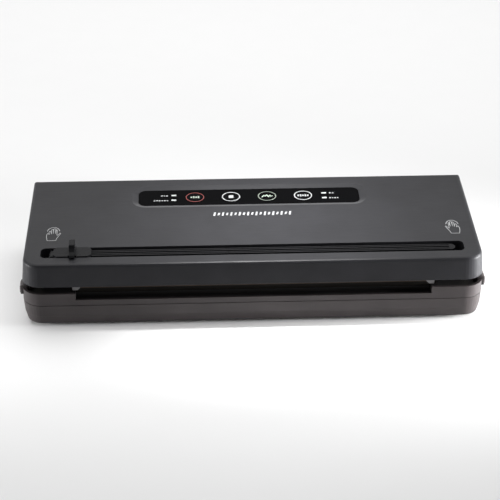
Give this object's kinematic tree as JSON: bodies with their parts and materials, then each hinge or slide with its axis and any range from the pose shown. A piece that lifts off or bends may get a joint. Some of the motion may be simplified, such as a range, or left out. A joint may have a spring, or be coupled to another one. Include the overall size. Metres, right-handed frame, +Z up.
{
  "type": "vacuum sealer",
  "caption": "Countertop vacuum sealer with a hinged lid, gloss control panel, sliding bag cutter and side release buttons.",
  "frame": {"origin": "under the middle of the housing, on the table plane at the bottom of the feet", "axes": "+X to the right along the width as seen by the user, +Y to the back, +Z up"},
  "size_m": [0.3976, 0.149, 0.0699],
  "materials": {
    "lid_shell": "fine spark-eroded grain, satin",
    "base_housing": "fine spark-eroded grain, satin",
    "black_plastic": "moulded, satin",
    "panel_gloss": "polished, piano black",
    "key_gloss": "polished, printed ring",
    "lens": "frosted light pipe",
    "foam": "closed-cell foam",
    "silicone": "matt silicone",
    "foot_rubber": "matt rubber",
    "heater_insulator": "heat-resistant moulding",
    "tape": "woven non-stick tape",
    "wire_metal": "rolled resistance wire",
    "steel": "zinc-plated",
    "motor_can": "drawn steel can",
    "blade_steel": "ground edge",
    "hose": "translucent silicone tube",
    "pump_plastic": "glass-filled nylon",
    "valve_plastic": "natural nylon",
    "circuit_board": "solder mask",
    "core_laminations": "varnished laminations",
    "components": "sleeves and cases",
    "switch_black": "moulded",
    "wire_brown": "PVC insulation",
    "wire_red": "PVC insulation",
    "wire_white": "silicone insulation",
    "wire_grey": "PVC insulation",
    "stop_grey": "moulded, satin",
    "label": "blank printed foil"
  },
  "bodies": {
    "base": {"base_shell": "base_housing", "base_deck": "black_plastic", "rubber_feet": "foot_rubber", "base_screws": "steel", "rating_plate": "label", "lower_gasket": "foam", "heater_bar": "heater_insulator", "heating_element": "wire_metal", "ptfe_tape": "tape", "heater_terminals": "steel", "intake_nozzle": "black_plastic", "intake_filter": "valve_plastic", "vacuum_hose": "hose", "valve_hose": "hose", "pump_motor": "motor_can", "motor_bracket": "steel", "pump_head": "pump_plastic", "release_valve": "valve_plastic", "power_board": "circuit_board", "transformer": "core_laminations", "board_components": "components", "board_screws": "steel", "power_inlet": "black_plastic", "inlet_pins": "steel", "mains_wiring": "wire_brown", "motor_wiring": "wire_red", "heater_wiring": "wire_white", "lid_switch": "switch_black", "hinge_pins": "steel", "left_latch_spring": "steel", "right_latch_spring": "steel"},
    "lid": {"lid_cover": "lid_shell", "lid_liner": "black_plastic", "lid_hooks": "valve_plastic", "bag_stops": "stop_grey", "upper_gasket": "foam", "seal_strip": "silicone", "lid_screws": "steel", "control_panel": "panel_gloss", "indicator_lenses": "lens", "control_board": "circuit_board", "tact_switches": "switch_black", "panel_board_screws": "steel", "lid_wiring": "wire_grey", "rail_pin": "steel"},
    "cutter_rail": {"cutter_rail": "black_plastic"},
    "cutter": {"cutter_carriage": "black_plastic", "cutter_blade": "blade_steel"},
    "left_latch": {"left_release_button": "base_housing"},
    "right_latch": {"right_release_button": "base_housing"},
    "seal_key": {"seal_button": "key_gloss"},
    "stop_key": {"stop_button": "key_gloss"},
    "pulse_key": {"pulse_button": "key_gloss"},
    "food_key": {"food_button": "key_gloss"},
    "switch_pin": {"lid_switch_pin": "valve_plastic"},
    "pump_rotor": {"motor_shaft": "steel"}
  },
  "joints": [
    {"name": "lid_hinge", "type": "hinge", "parent": "base", "child": "lid", "pos_m": [0, 0.0703, 0.0394], "axis": [-1, 0, 0], "range_deg": [0, 80]},
    {"name": "rail_hinge", "type": "hinge", "parent": "lid", "child": "cutter_rail", "pos_m": [-0.1715, -0.05242, 0.05634], "axis": [0, -0.9981, -0.061], "range_deg": [0, 50]},
    {"name": "cutter_slide", "type": "slide", "parent": "cutter_rail", "child": "cutter", "axis": [1, 0, 0], "range_m": [0, 0.305]},
    {"name": "left_button_press", "type": "slide", "parent": "base", "child": "left_latch", "axis": [1, 0, 0], "range_m": [0, 0.0025], "stiffness_N_per_m": 500, "springref_m": -0.004, "deforming": ["left_latch_spring"]},
    {"name": "right_button_press", "type": "slide", "parent": "base", "child": "right_latch", "axis": [-1, 0, 0], "range_m": [0, 0.0025], "stiffness_N_per_m": 500, "springref_m": -0.004, "deforming": ["right_latch_spring"]},
    {"name": "seal_press", "type": "slide", "parent": "lid", "child": "seal_key", "axis": [0, 0.061, -0.9981], "range_m": [0, 0.0007], "stiffness_N_per_m": 600, "springref_m": -0.0008},
    {"name": "stop_press", "type": "slide", "parent": "lid", "child": "stop_key", "axis": [0, 0.061, -0.9981], "range_m": [0, 0.0007], "stiffness_N_per_m": 600, "springref_m": -0.0008},
    {"name": "pulse_press", "type": "slide", "parent": "lid", "child": "pulse_key", "axis": [0, 0.061, -0.9981], "range_m": [0, 0.0007], "stiffness_N_per_m": 600, "springref_m": -0.0008},
    {"name": "food_press", "type": "slide", "parent": "lid", "child": "food_key", "axis": [0, 0.061, -0.9981], "range_m": [0, 0.0007], "stiffness_N_per_m": 600, "springref_m": -0.0008},
    {"name": "switch_press", "type": "slide", "parent": "base", "child": "switch_pin", "axis": [0, 0, -1], "range_m": [0, 0.0015], "stiffness_N_per_m": 200, "springref_m": -0.003},
    {"name": "pump_spin", "type": "hinge", "parent": "base", "child": "pump_rotor", "pos_m": [0, 0.032, 0.019], "axis": [1, 0, 0], "continuous": true}
  ]
}
